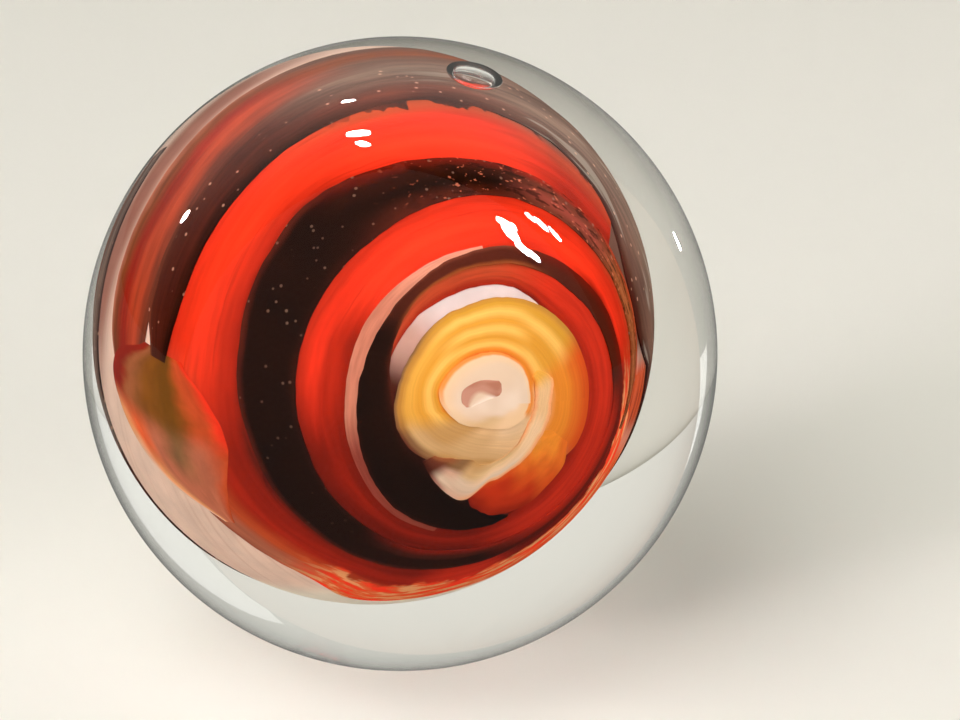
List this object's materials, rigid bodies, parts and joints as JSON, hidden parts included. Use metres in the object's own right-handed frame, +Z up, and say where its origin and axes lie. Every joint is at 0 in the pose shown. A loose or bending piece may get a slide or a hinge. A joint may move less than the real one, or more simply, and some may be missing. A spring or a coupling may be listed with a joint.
{
  "type": "glass marble",
  "caption": "Clear glass marble cased round a spiral core of red, black, amber and white glass, with an air bubble near the top.",
  "frame": {"origin": "centre of the clear ball", "axes": "+Z up as the marble sits in the picture, -Y the way the eye of the swirl faces, +X to its right"},
  "size_m": [0.017, 0.017, 0.017],
  "materials": {
    "clear_glass": "clear soda glass, fire-polished, with one small lens-shaped air bubble and a few seed bubbles",
    "rose_glass": "milky rose-white glass, streaky, seen in the crescent by the eye and low on one side",
    "red_glass": "opaque scarlet glass, deeper and browner towards the eye's side of each turn",
    "dark_red_glass": "deep red-brown glass of the far turns",
    "black_glass": "opaque black glass with fine pale specks",
    "thread_glass": "dusty pink glass",
    "olive_glass": "translucent olive-brown glass",
    "amber_glass": "amber to yellow glass in soft concentric bands, olive at the rim",
    "orange_glass": "orange-red glass that turns amber along its length",
    "cream_glass": "creamy white glass",
    "white_glass": "warm milk-white glass",
    "mauve_glass": "mauve-brown glass"
  },
  "bodies": {
    "root": {"clear_glass": "clear_glass", "rose_core": "rose_glass", "red_ribbon": "red_glass", "red_tail": "dark_red_glass", "black_ribbon": "black_glass", "black_tail": "black_glass", "rose_thread": "thread_glass", "olive_streak": "olive_glass", "amber_coil": "amber_glass", "orange_tip": "orange_glass", "cream_arm": "cream_glass", "white_heart": "white_glass", "mauve_curl": "mauve_glass"}
  },
  "joints": []
}
